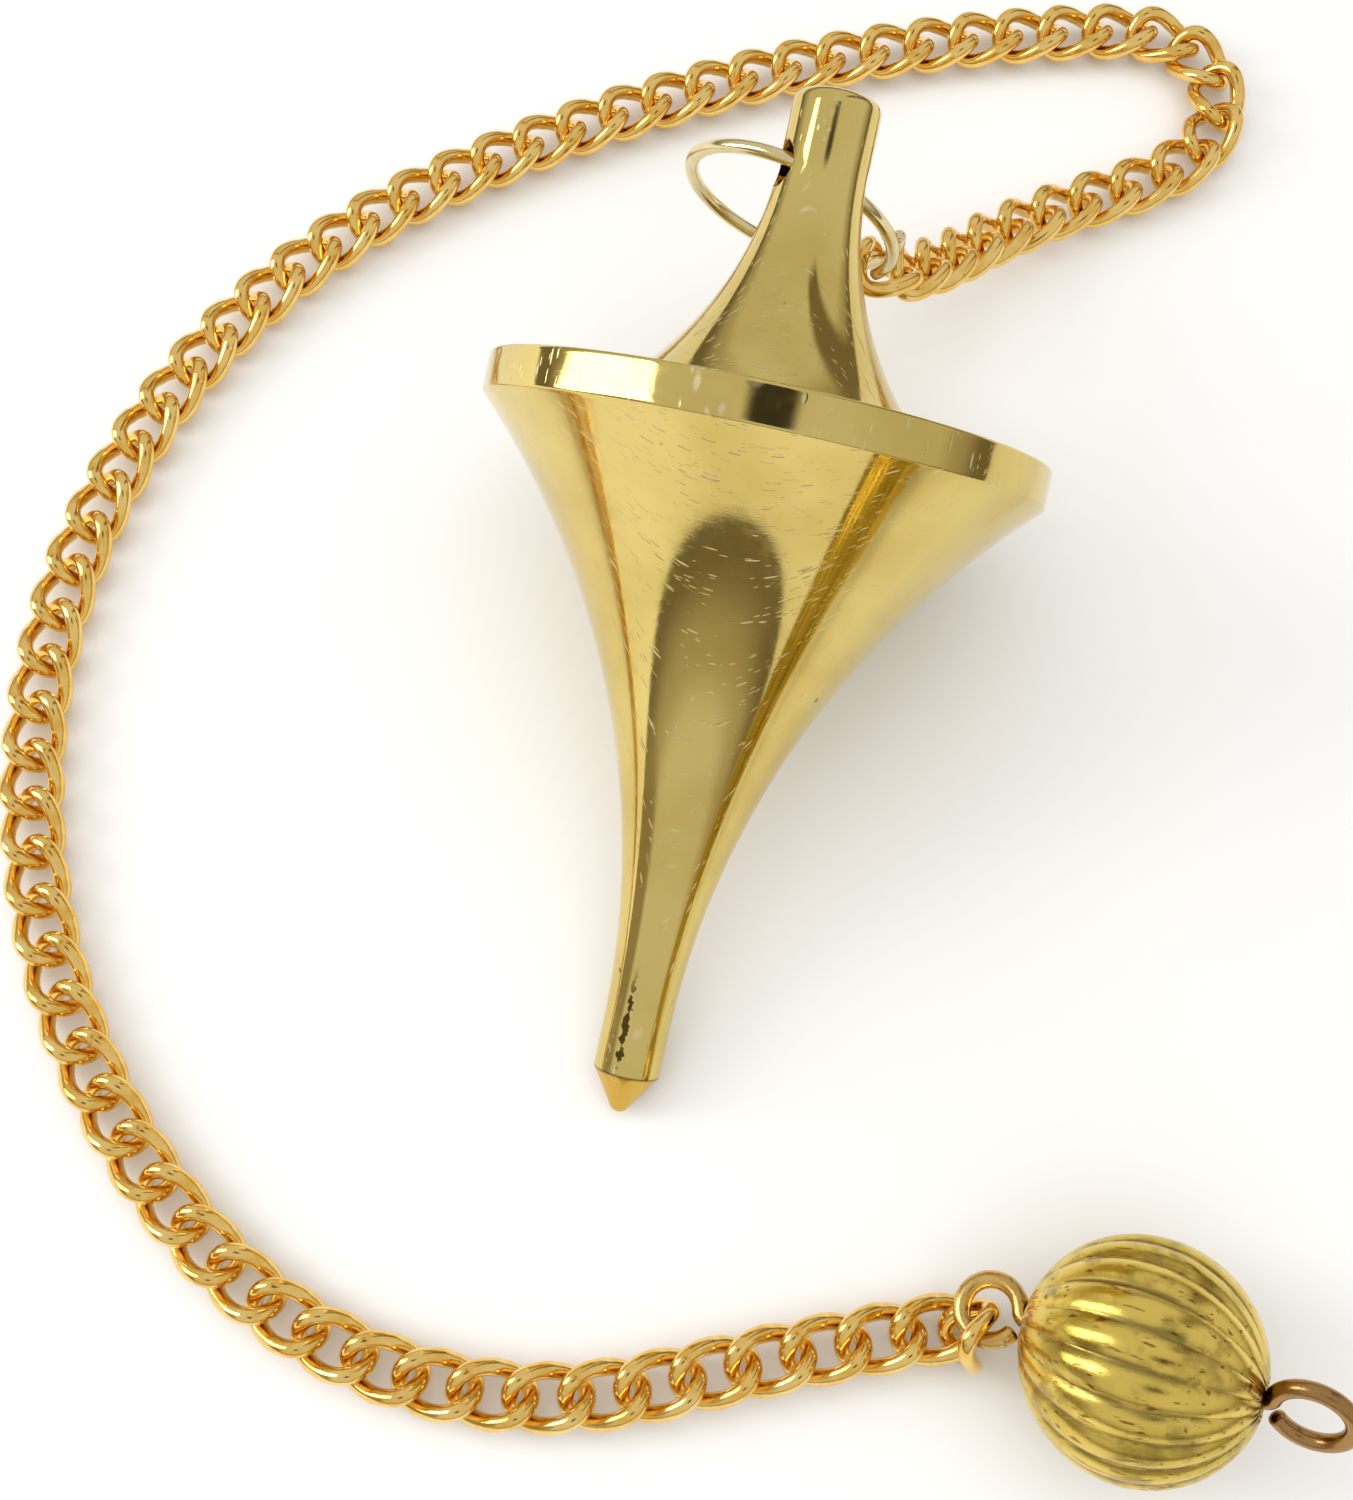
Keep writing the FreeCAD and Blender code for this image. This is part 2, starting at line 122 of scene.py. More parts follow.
# camera, in millimetres and degrees
CAMERA_PLACE = Vector((6.32, -10.58, 87.71))
CAMERA_HEADING = math.radians(-15.6)
CAMERA_DIP = math.radians(71.84)
CAMERA_ROLL = math.radians(-2.16)
CAMERA_LENS = 46.7

# table and light
TABLE_SIDE = 0.30
WINDOW_DISTANCE = 0.30
WINDOW_HEADING = math.radians(-93)
WINDOW_RISE = math.radians(28)
WINDOW_SIZE = (0.12, 0.23)
WINDOW_GLOW = 4.2
DOOR_HEADING = math.radians(31)
DOOR_TOP = math.radians(50)
FILL_HEIGHT = 0.35
FILL_SIDE = 0.5
FILL_GLOW = 0.88


# ---------------------------------------------------------------- mesh helpers


def unit(vector):
    """A numpy vector, or each row of an array, at length one."""
    vector = np.asarray(vector, float)
    return vector / np.linalg.norm(vector, axis=-1, keepdims=True)


def arc(centre, radius, first, last, steps):
    """Points of a flat arc from one angle to another, both ends included."""
    angle = np.linspace(first, last, steps + 1)
    return np.c_[centre[0] + radius * np.cos(angle), centre[1] + radius * np.sin(angle)]


def line(first, last, steps=1):
    """Points of a straight run, both ends included."""
    share = np.linspace(0, 1, steps + 1)[:, None]
    return np.asarray(first, float) * (1 - share) + np.asarray(last, float) * share


def cut_back(run, length):
    """A run of points with a length taken off its end."""
    steps = np.linalg.norm(np.diff(run[::-1], axis=0), axis=1)
    travelled = np.concatenate([[0], np.cumsum(steps)])
    kept = run[: len(run) - np.searchsorted(travelled, length)]
    last = np.array([np.interp(length, travelled, run[::-1][:, axis]) for axis in range(2)])
    return np.vstack([kept, last])


def join_rounded(runs, rounds, steps=7):
    """One outline from runs that meet at corners, each corner rounded to its own radius (0 keeps it)."""
    runs = [np.asarray(run, float) for run in runs]
    joined = []
    for number, radius in enumerate(rounds):
        before, after = runs[number], runs[number + 1]
        corner = before[-1]
        if radius == 0:
            joined.append(before[:-1])
            continue
        way_in, way_out = unit(before[-1] - before[-2]), unit(after[1] - after[0])
        half = math.acos(float(np.clip(way_in @ way_out, -1, 1))) / 2
        reach = radius * math.tan(half)
        before = cut_back(before, reach)
        after = cut_back(after[::-1], reach)[::-1]
        middle = corner + unit(way_out - way_in) * radius / math.cos(half)
        begin, end = before[-1] - middle, after[0] - middle
        first, last = math.atan2(begin[1], begin[0]), math.atan2(end[1], end[0])
        last -= round((last - first) / (2 * math.pi)) * 2 * math.pi
        joined.append(before[:-1])
        joined.append(arc(middle, radius, first, last, steps)[:-1])
        runs[number + 1] = after
    joined.append(runs[-1])
    return np.vstack(joined)


def grid_faces(rows, columns, rows_close, columns_close):
    """Quads over a grid of points laid out row by row."""
    faces = []
    for row in range(rows if rows_close else rows - 1):
        upper = (row + 1) % rows
        for column in range(columns if columns_close else columns - 1):
            right = (column + 1) % columns
            faces.append(
                (
                    row * columns + column,
                    row * columns + right,
                    upper * columns + right,
                    upper * columns + column,
                )
            )
    return faces


def make_piece(name, points, faces, material, placement=None, bench=None):
    """A smooth mesh object. points are millimetres in the piece's own frame, kept for its textures."""
    points = np.asarray(points, float)
    placed = points if placement is None else points @ placement[0].T + placement[1]
    mesh = bpy.data.meshes.new(name)
    mesh.from_pydata((placed * MM).tolist(), [], faces)
    mesh.validate()
    own = mesh.attributes.new("bench", "FLOAT_VECTOR", "POINT")
    own.data.foreach_set("vector", np.asarray(points if bench is None else bench, np.float32).ravel())
    mesh.polygons.foreach_set("use_smooth", [True] * len(mesh.polygons))
    piece = bpy.data.objects.new(name, mesh)
    bpy.context.scene.collection.objects.link(piece)
    outward(mesh)
    mesh.materials.append(material)
    return piece


def outward(mesh):
    """Turn all faces of a closed mesh outward."""
    work = bmesh.new()
    work.from_mesh(mesh)
    bmesh.ops.recalc_face_normals(work, faces=work.faces)
    work.to_mesh(mesh)
    work.free()


def revolve(outline, steps):
    """A closed turned body from an outline that starts and ends on its axis."""
    around = np.linspace(0, 2 * math.pi, steps, endpoint=False)
    rings = outline[1:-1]
    points = [
        np.c_[radius * np.cos(around), radius * np.sin(around), np.full(steps, height)]
        for radius, height in rings
    ]
    faces = grid_faces(len(rings), steps, False, True)
    bottom, top = len(rings) * steps, len(rings) * steps + 1
    last = (len(rings) - 1) * steps
    for step in range(steps):
        following = (step + 1) % steps
        faces.append((bottom, following, step))
        faces.append((top, last + step, last + following))
    ends = [[0, 0, outline[0][1]], [0, 0, outline[-1][1]]]
    return np.vstack(points + [ends]), faces


def tube(middle, radius, sides, closed):
    """Round wire along a curve, its section carried along without twist and its open ends rounded over."""
    middle = np.asarray(middle, float)
    count = len(middle)
    radii = np.broadcast_to(radius, (count,)).astype(float)
    if closed:
        ahead = unit(np.roll(middle, -1, axis=0) - np.roll(middle, 1, axis=0))
    else:
        ahead = unit(np.gradient(middle, axis=0))
    side = unit(np.cross(ahead[0], [0.31, 0.52, 0.79]))
    sides_out = [side]
    for way in ahead[1:]:
        side = unit(side - way * (side @ way))
        sides_out.append(side)
    sides_out = np.array(sides_out)
    spare = 0.0
    if closed:
        carried = unit(sides_out[-1] - ahead[0] * (sides_out[-1] @ ahead[0]))
        other = np.cross(ahead[0], sides_out[0])
        spare = math.atan2(carried @ other, carried @ sides_out[0])
    turns = -spare * np.arange(count) / count
    angles = np.linspace(0, 2 * math.pi, sides, endpoint=False)
    up = np.cross(ahead, sides_out)

    def section(index, shrink=1.0, push=0.0):
        turned = angles + turns[index]
        ring = np.outer(np.cos(turned), sides_out[index]) + np.outer(np.sin(turned), up[index])
        return middle[index] + ahead[index] * push + ring * radii[index] * shrink

    rings = [section(index) for index in range(count)]
    if closed:
        return np.vstack(rings), grid_faces(count, sides, True, True)
    over = [(math.cos(a), math.sin(a) * 0.45) for a in np.linspace(math.pi / 2.4, math.pi / 8, 4)]
    start = [section(0, shrink, -push * radii[0]) for shrink, push in over]
    finish = [section(count - 1, shrink, push * radii[-1]) for shrink, push in over[::-1]]
    rings = start + rings + finish
    faces = grid_faces(len(rings), sides, False, True)
    faces.append(tuple(range(sides)))
    faces.append(tuple((len(rings) - 1) * sides + side for side in range(sides)))
    return np.vstack(rings), faces


def standing(piece, body, node):
    """Ride a piece on its body in place of the CAD node of the same part."""
    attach(piece, body)
    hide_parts(node)


# ---------------------------------------------------------------- materials


class Nodes:
    """Short calls for a material's or world's node tree."""

    def __init__(self, tree):
        self.tree = tree

    def add(self, kind, settings=None, **inputs):
        """A node with settings, and inputs given by socket name (spaces written as underscores)."""
        node = self.tree.nodes.new(kind)
        for name, value in (settings or {}).items():
            setattr(node, name, value)
        for name, value in inputs.items():
            self.feed(node.inputs[name.replace("_", " ")], value)
        return node

    def feed(self, socket, value):
        """Link a socket to another, or give it a value."""
        if isinstance(value, bpy.types.NodeSocket):
            self.tree.links.new(value, socket)
        else:
            socket.default_value = value

    def math(self, operation, first, second=0.0, third=0.0):
        """A math node's result."""
        node = self.tree.nodes.new("ShaderNodeMath")
        node.operation = operation
        for socket, value in zip(node.inputs, (first, second, third)):
            self.feed(socket, value)
        return node.outputs[0]

    def vector(self, operation, first, second=(0, 0, 0)):
        """A vector math node."""
        node = self.tree.nodes.new("ShaderNodeVectorMath")
        node.operation = operation
        self.feed(node.inputs[0], first)
        self.feed(node.inputs[1], second)
        return node

    def range(self, value, low, high, to_low=0.0, to_high=1.0):
        """A value moved smoothly from one range to another, held at both ends."""
        settings = {"interpolation_type": "SMOOTHSTEP"}
        node = self.add("ShaderNodeMapRange", settings, Value=value)
        for name, limit in (("From Min", low), ("From Max", high), ("To Min", to_low), ("To Max", to_high)):
            node.inputs[name].default_value = limit
        return node.outputs["Result"]

    def mix(self, share, first, second):
        """Two colours mixed."""
        node = self.tree.nodes.new("ShaderNodeMix")
        node.data_type = "RGBA"
        self.feed(node.inputs["Factor"], share)
        for socket, colour in zip([s for s in node.inputs if s.type == "RGBA"], (first, second)):
            self.feed(socket, colour)
        return next(socket for socket in node.outputs if socket.type == "RGBA")

    def noise(self, place, scale, detail=4.0, roughness=0.55):
        """A noise texture's value."""
        node = self.add("ShaderNodeTexNoise", None, Vector=place, Scale=scale, Detail=detail)
        node.inputs["Roughness"].default_value = roughness
        return node.outputs[0]

    def stretched(self, place, stretch):
        """A place scaled differently along its three axes."""
        return self.vector("MULTIPLY", place, stretch).outputs[0]


def rgba(colour):
    return (*colour, 1.0)


def new_metal(name):
    """An empty metal material: its nodes, its shader and the texture place in the piece's own frame."""
    material = bpy.data.materials.new(name)
    material.use_nodes = True
    nodes = Nodes(material.node_tree)
    shader = material.node_tree.nodes["Principled BSDF"]
    shader.inputs["Metallic"].default_value = 1.0
    place = nodes.add("ShaderNodeAttribute", {"attribute_name": "bench"}).outputs["Vector"]
    return material, nodes, shader, place


def scratches(nodes, place, turn, scale, fineness, amount):
    """Sparse thin scratches that run one way: 1 in a scratch and 0 elsewhere."""
    turned = nodes.add("ShaderNodeMapping", None, Vector=place)
    turned.inputs["Rotation"].default_value = turn
    turned.inputs["Scale"].default_value = (scale, scale * fineness, scale)
    cells = nodes.add("ShaderNodeTexVoronoi", {"feature": "F1"}, Vector=turned.outputs[0], Scale=1.0)
    near = nodes.range(cells.outputs["Distance"], 0.09, 0.26, 1.0, 0.0)
    some = nodes.range(nodes.noise(turned.outputs[0], 0.35, 1.0), 0.62 - amount, 0.70 - amount)
    return nodes.math("MULTIPLY", near, some)


def bump(nodes, shader, height, strength, distance, earlier=None):
    """Feed the shader a bump from a height."""
    node = nodes.add("ShaderNodeBump", None, Height=height, Strength=strength, Distance=distance)
    if earlier is not None:
        nodes.feed(node.inputs["Normal"], earlier)
    nodes.feed(shader.inputs["Normal"], node.outputs[0])
    return node.outputs[0]


def all_scratches(nodes, place):
    """Fine scratches in four directions: 1 in a scratch and 0 elsewhere."""
    scratched = scratches(nodes, place, (0.3, 0.2, 0.9), 0.55, 13.0, 0.07)
    for turn, scale, fineness, amount in (
        ((1.1, 0.5, -0.6), 0.75, 16.0, 0.08),
        ((0.1, 1.2, 2.1), 1.1, 12.0, 0.06),
        ((0.8, 0.3, 1.4), 1.7, 9.0, 0.04),
    ):
        more = scratches(nodes, place, turn, scale, fineness, amount)
        scratched = nodes.math("MAXIMUM", scratched, more)
    return scratched


def dark_specks(nodes, place):
    """Sparse round specks, nearly 1 in a speck and 0 elsewhere."""
    cells = nodes.add("ShaderNodeTexVoronoi", {"feature": "F1"}, Vector=place, Scale=0.42)
    speck = nodes.range(cells.outputs["Distance"], 0.035, 0.075, 1.0, 0.0)
    speck = nodes.math("MULTIPLY", speck, nodes.range(nodes.noise(place, 0.3, 1.0), 0.5, 0.56))
    return nodes.math("MULTIPLY", speck, 0.85)


def painted_shaft_reflection(nodes, place, split):
    """A ragged dark line on top of the shaft, close to the tip: a painted reflection of something dark mirrored in
    the polished metal.
    """
    aside = nodes.math("ABSOLUTE", nodes.math("ADD", split.outputs["X"], 0.35))
    ragged = nodes.math("ADD", aside, nodes.math("MULTIPLY", nodes.noise(place, 2.6, 3.0), 0.9))
    dark_reflection = nodes.range(ragged, 0.50, 0.56, 1.0, 0.0)
    for edge in (
        nodes.range(split.outputs["Y"], -0.6, -0.3, 1.0, 0.0),
        nodes.range(split.outputs["Z"], 2.1, 2.4),
        nodes.range(split.outputs["Z"], 5.2, 7.2, 1.0, 0.0),
    ):
        dark_reflection = nodes.math("MULTIPLY", dark_reflection, edge)
    return dark_reflection


def bob_brass():
    """Polished pale brass with turning lines, fine scratches, specks, cloudiness, a more golden tip and a painted
    dark reflection on top of the shaft.
    """
    material, nodes, shader, place = new_metal("bob_brass_look")
    split = nodes.add("ShaderNodeSeparateXYZ", None, Vector=place)
    mottled = nodes.noise(place, 1.7, 5.0)
    scratched = all_scratches(nodes, place)

    pale, deep = rgba((0.72, 0.565, 0.19)), rgba((0.61, 0.46, 0.13))
    colour = nodes.mix(nodes.range(nodes.noise(place, 0.16, 3.0), 0.35, 0.68), pale, deep)
    colour = nodes.mix(dark_specks(nodes, place), colour, rgba((0.20, 0.12, 0.03)))
    colour = nodes.mix(nodes.math("MULTIPLY", scratched, 0.45), colour, rgba((0.92, 0.83, 0.58)))
    tip = nodes.range(split.outputs["Z"], CONE_LINE - 0.08, CONE_LINE + 0.08, 1.0, 0.0)
    colour = nodes.mix(nodes.math("MULTIPLY", tip, 0.8), colour, rgba((0.62, 0.37, 0.05)))
    apart = nodes.math("ABSOLUTE", nodes.math("SUBTRACT", split.outputs["Z"], CONE_LINE))
    colour = nodes.mix(nodes.range(apart, 0.02, 0.09, 0.8, 0.0), colour, rgba((0.22, 0.12, 0.03)))
    # painted reflection: a dark streak painted along the top of the shaft
    colour = nodes.mix(painted_shaft_reflection(nodes, place, split), colour, rgba((0.10, 0.06, 0.015)))
    nodes.feed(shader.inputs["Base Color"], colour)

    roughness = nodes.range(mottled, 0.3, 0.8, 0.045, 0.12)
    roughness = nodes.math("ADD", roughness, nodes.math("MULTIPLY", scratched, 0.25))
    nodes.feed(shader.inputs["Roughness"], roughness)
    shader.inputs["Anisotropic"].default_value = 0.25

    turned = nodes.add("ShaderNodeCombineXYZ", None, Z=split.outputs["Z"])
    rings = nodes.noise(turned.outputs[0], 9.0, 6.0, 0.75)
    height = nodes.math("ADD", nodes.math("MULTIPLY", rings, 0.35), nodes.math("MULTIPLY", mottled, 0.55))
    soft = bump(nodes, shader, height, 0.10, 0.02 * MM)
    bump(nodes, shader, nodes.math("SUBTRACT", 1.0, scratched), 0.5, 0.012 * MM, soft)
    return material


def wire_metal(name, bright, deep, dull, roughness, dullness, far=None):
    """Drawn wire: a bright tone that varies from place to place, dull patches and fine draw lines.

    far, if given, is the tone of the wire beyond the middle of its own x.
    """
    material, nodes, shader, place = new_metal(name)
    island = nodes.add("ShaderNodeNewGeometry").outputs["Random Per Island"]
    offset = nodes.vector("SCALE", (37.0, 11.0, 23.0))
    nodes.feed(offset.inputs["Scale"], island)
    spot = nodes.vector("ADD", place, offset.outputs[0]).outputs[0]
    patches = nodes.noise(spot, 0.9, 4.0)
    grain = nodes.noise(spot, 6.0, 5.0, 0.7)
    colour = nodes.mix(nodes.range(patches, 0.35, 0.68), rgba(bright), rgba(deep))
    dulled = nodes.range(nodes.noise(spot, 2.3, 5.0), 0.70 - dullness, 0.86 - dullness)
    colour = nodes.mix(dulled, colour, rgba(dull))
    if far is not None:
        along = nodes.add("ShaderNodeSeparateXYZ", None, Vector=place).outputs["X"]
        colour = nodes.mix(nodes.range(along, -1.0, 4.0, 0.0, 0.8), colour, rgba(far))
    nodes.feed(shader.inputs["Base Color"], colour)
    nodes.feed(shader.inputs["Roughness"], nodes.range(grain, 0.25, 0.8, roughness * 0.6, roughness * 1.6))
    pits = nodes.add("ShaderNodeTexVoronoi", {"feature": "F1"}, Vector=spot, Scale=1.6)
    pit = nodes.range(pits.outputs["Distance"], 0.04, 0.12)
    height = nodes.math("ADD", nodes.math("MULTIPLY", grain, 0.6), nodes.math("MULTIPLY", pit, 0.5))
    bump(nodes, shader, height, 0.35, 0.02 * MM)
    return material


def bead_brass():
    """Brass of the bead: bright ribs, brown and greenish tarnish in the flutes, long scuffs along them."""
    material, nodes, shader, place = new_metal("bead_brass_look")
    shade = nodes.add("ShaderNodeAttribute", {"attribute_name": "groove"}).outputs["Fac"]
    along = nodes.stretched(place, (0.22, 1.5, 1.5))
    streaks = nodes.noise(along, 1.1, 6.0, 0.65)
    cloud = nodes.noise(place, 0.33, 3.0)
    colour = nodes.mix(nodes.range(cloud, 0.35, 0.7), rgba((0.80, 0.59, 0.13)), rgba((0.60, 0.44, 0.07)))
    tarnish = nodes.math("MULTIPLY", nodes.range(streaks, 0.36, 0.58), nodes.range(shade, 0.15, 0.85))
    green = nodes.mix(nodes.noise(place, 0.8, 2.0), rgba((0.24, 0.13, 0.03)), rgba((0.25, 0.22, 0.06)))
    colour = nodes.mix(nodes.math("MULTIPLY", tarnish, 0.9), colour, green)
    blotch = nodes.math("MULTIPLY", nodes.range(nodes.noise(place, 0.62, 5.0), 0.50, 0.66), 0.7)
    stain = nodes.mix(nodes.noise(place, 1.4, 2.0), rgba((0.30, 0.15, 0.03)), rgba((0.30, 0.27, 0.07)))
    colour = nodes.mix(blotch, colour, stain)
    marks = nodes.math("MULTIPLY", nodes.range(nodes.noise(along, 2.6, 3.0), 0.60, 0.68), 0.85)
    colour = nodes.mix(marks, colour, rgba((0.22, 0.10, 0.02)))
    nodes.feed(shader.inputs["Base Color"], colour)
    streaky = nodes.range(streaks, 0.3, 0.75, 0.11, 0.26)
    roughness = nodes.math("ADD", streaky, nodes.math("MULTIPLY", tarnish, 0.2))
    nodes.feed(shader.inputs["Roughness"], roughness)
    fine = nodes.noise(along, 9.0, 5.0, 0.7)
    bump(nodes, shader, nodes.math("ADD", streaks, nodes.math("MULTIPLY", fine, 0.4)), 0.4, 0.03 * MM)
    return material


# ---------------------------------------------------------------- the bob

AXIS = -np.array(MOUNTS["plumb_point"]["axis"], float)
ACROSS = np.array([1.0, 0.0, 0.0])
BOB_TURN = np.column_stack([ACROSS, np.cross(AXIS, ACROSS), AXIS])
BOB_PLACEMENT = (BOB_TURN, np.zeros(3))


def bob_outline():
    """The bob's outline from tip to neck, as radius and height."""
    ball = arc((0, TIP_BALL_RADIUS), TIP_BALL_RADIUS, -math.pi / 2, -TIP_HALF_ANGLE, 10)
    cone_top = ball[-1][1] + (SHAFT_RADIUS - ball[-1][0]) / math.tan(TIP_HALF_ANGLE)
    cone = line(ball[-1], (SHAFT_RADIUS, cone_top), 10)
    shaft = line(cone[-1], (SHAFT_RADIUS, SHAFT_TOP), 12)
    height, spread = RIM_BOTTOM - SHAFT_TOP, RIM_RADIUS - SHAFT_RADIUS
    skirt_radius = (height**2 + spread**2) / (2 * spread)
    sweep = math.asin(height / skirt_radius)
    skirt = arc((SHAFT_RADIUS + skirt_radius, SHAFT_TOP), skirt_radius, math.pi, math.pi - sweep, 110)
    band = line(skirt[-1], (RIM_RADIUS, RIM_TOP), 8)
    flare_sweep = math.asin((FLARE_TOP - RIM_TOP) / FLARE_RADIUS)
    flare_centre = (STEM_RADIUS + FLARE_RADIUS, FLARE_TOP)
    flare = arc(flare_centre, FLARE_RADIUS, math.pi + flare_sweep, math.pi, 80)
    top = line(band[-1], flare[0], 30)
    stem = line(flare[-1], (STEM_RADIUS, BOB_LENGTH), 24)
    cap = line(stem[-1], (0, BOB_LENGTH), 8)
    runs = (np.vstack([ball[:-1], cone]), np.vstack([shaft[:-1], skirt]), band, top)
    runs += (np.vstack([flare[:-1], stem]), cap)
    return join_rounded(runs, (0.05, RIM_EDGE_ROUND, RIM_EDGE_ROUND, SHOULDER_ROUND, STEM_END_ROUND))


def drill(piece, placement):
    """Cut the neck's cross hole, flared at both mouths, right through a piece."""
    throat, mouth = STEM_RADIUS - 0.22, STEM_RADIUS + 0.3
    reach = np.array([-6.0, -mouth, -throat, throat, mouth, 6.0])
    wide = HOLE_RADIUS + HOLE_FLARE * np.clip(np.abs(reach) - throat, 0, mouth - throat)
    outline = np.vstack([[0, reach[0]], np.c_[wide, reach], [0, reach[-1]]])
    points, faces = revolve(outline, 96)
    across, along = math.cos(HOLE_TURN), math.sin(HOLE_TURN)
    lay = np.column_stack([[-along, across, 0], [0, 0, 1], [across, along, 0]])
    points = points @ lay.T + [0, 0, HOLE_HEIGHT]
    cutter = make_piece("hole_cutter", points, faces, piece.data.materials[0], placement)
    cut = piece.modifiers.new("hole", "BOOLEAN")
    cut.operation, cut.solver, cut.object = "DIFFERENCE", "EXACT", cutter
    view = bpy.context.evaluated_depsgraph_get()
    piece.data = bpy.data.meshes.new_from_object(piece.evaluated_get(view))
    piece.modifiers.clear()
    bpy.data.objects.remove(cutter)


def build_bob():
    """The turned bob: a needle tip, a trumpet skirt, a rim band and a flared neck with a cross hole."""
    points, faces = revolve(bob_outline(), TURNING_STEPS)
    bob = make_piece("turned_bob", points, faces, bob_brass(), BOB_PLACEMENT)
    drill(bob, BOB_PLACEMENT)
    bob.data.set_sharp_from_angle(angle=math.radians(40))
    standing(bob, "bob", "plumb_bob")


# ---------------------------------------------------------------- the jump ring


def turn_about(axis, angle):
    return np.array(Matrix.Rotation(angle, 3, axis))


def build_ring():
    """The jump ring: a little over one turn of wire through the neck, its ends side by side."""
    swung = BOB_TURN @ turn_about("Z", RING_YAW) @ turn_about("Y", RING_CANT) @ turn_about("X", -RING_HANG)
    along, down, axis = swung.T
    hole = np.array(JOINTS["ring_swing"]["pos_m"]) / MM
    angle = np.linspace(RING_START, RING_END, 220)
    centre = hole + down * RING_RADIUS
    round_part = np.outer(-np.cos(angle), down) + np.outer(np.sin(angle), along)
    lead = np.outer(RING_LEAD * (angle / (2 * math.pi) - 1), axis)
    points, faces = tube(centre + RING_RADIUS * round_part - lead, RING_WIRE, 28, False)
    tones = (0.78, 0.68, 0.40), (0.70, 0.58, 0.30), (0.45, 0.34, 0.15)
    metal = wire_metal("ring_brass_look", *tones, 0.12, 0.0)
    ring = make_piece("jump_ring_wire", points, faces, metal)
    standing(ring, "ring", "jump_ring")


# ---------------------------------------------------------------- the chain


def loose_parts(mesh):
    """The triangles of each separate solid in a mesh, as arrays of corner places."""
    count = len(mesh.vertices)
    places = np.zeros(count * 3)
    mesh.vertices.foreach_get("co", places)
    places = places.reshape(-1, 3)
    mesh.calc_loop_triangles()
    corners = np.zeros(len(mesh.loop_triangles) * 3, np.int64)
    mesh.loop_triangles.foreach_get("vertices", corners)
    corners = corners.reshape(-1, 3)
    _, same = np.unique(np.round(places / (MM * 0.001)).astype(np.int64), axis=0, return_inverse=True)
    same = same.ravel()
    label = np.arange(same.max() + 1)
    while True:
        merged = label.copy()
        for first, second in ((0, 1), (1, 2), (2, 0)):
            one, two = same[corners[:, first]], same[corners[:, second]]
            low = np.minimum(merged[one], merged[two])
            np.minimum.at(merged, one, low)
            np.minimum.at(merged, two, low)
        merged = merged[merged]
        if (merged == label).all():
            break
        label = merged
    owner = label[same[corners[:, 0]]]
    return [places[corners[owner == part]] for part in np.unique(owner)]


def pose_of(triangles):
    """Where a link lies: its main directions, longest first, and its centre, from its surface."""
    sides = triangles[:, 1:] - triangles[:, :1]
    area = np.linalg.norm(np.cross(sides[:, 0], sides[:, 1]), axis=1)
    middle = triangles.mean(axis=1)
    centre = (middle * area[:, None]).sum(axis=0) / area.sum()
    away = middle - centre
    spread = (away * area[:, None]).T @ away
    _, ways = np.linalg.eigh(spread)
    length, width = ways[:, 2], ways[:, 1]
    return np.column_stack([length, width, np.cross(length, width)]), centre / MM


def link_middle():
    """The middle line of one curb link: an oval with its two ends twisted a quarter turn apart."""
    angle = np.linspace(0, 2 * math.pi, LINK_STEPS, endpoint=False)
    curve = np.c_[
        LINK_HALF_LENGTH * np.cos(angle), LINK_HALF_WIDTH * np.sin(angle), -LINK_TWIST * np.sin(2 * angle)
    ]
    seam = np.abs((angle - math.pi / 2 + math.pi) % (2 * math.pi) - math.pi)
    return curve, LINK_WIRE * (1 + SEAM_SWELL * np.exp(-((seam / SEAM_WIDTH) ** 2)))


def build_chain():
    """The chain: every link is a closed loop of wire with a small soldered seam, laid on its CAD solid."""
    tones = (0.92, 0.65, 0.22), (0.82, 0.49, 0.10), (0.50, 0.24, 0.03)
    metal = wire_metal("chain_brass_look", *tones, 0.10, 0.08)
    middle, radii = link_middle()
    link, link_faces = tube(middle, radii, LINK_SIDES, True)
    names = sorted(name for name in frame["nodes"] if name.startswith("link_pair"))
    for name in names:
        points, faces, own = [], [], []
        for number, part in enumerate(loose_parts(frame["nodes"][name].data)):
            turn, centre = pose_of(part)
            points.append(link @ turn.T + centre)
            faces += [tuple(corner + number * len(link) for corner in face) for face in link_faces]
            own.append(link + [number * 9.0, 0, 0])
        wires = name.replace("pair", "wire")
        piece = make_piece(wires, np.vstack(points), faces, metal, bench=np.vstack(own))
        standing(piece, name, name)


# ---------------------------------------------------------------- the bead and its wire

SPIN = JOINTS["bead_spin"]
BEAD_AXIS = unit(SPIN["axis"])
BEAD_LEVEL = unit(np.cross([0, 0, 1], BEAD_AXIS))
BEAD_TURN = np.column_stack([BEAD_AXIS, BEAD_LEVEL, np.cross(BEAD_AXIS, BEAD_LEVEL)])
BEAD_PLACEMENT = (BEAD_TURN, np.array(SPIN["pos_m"]) / MM)


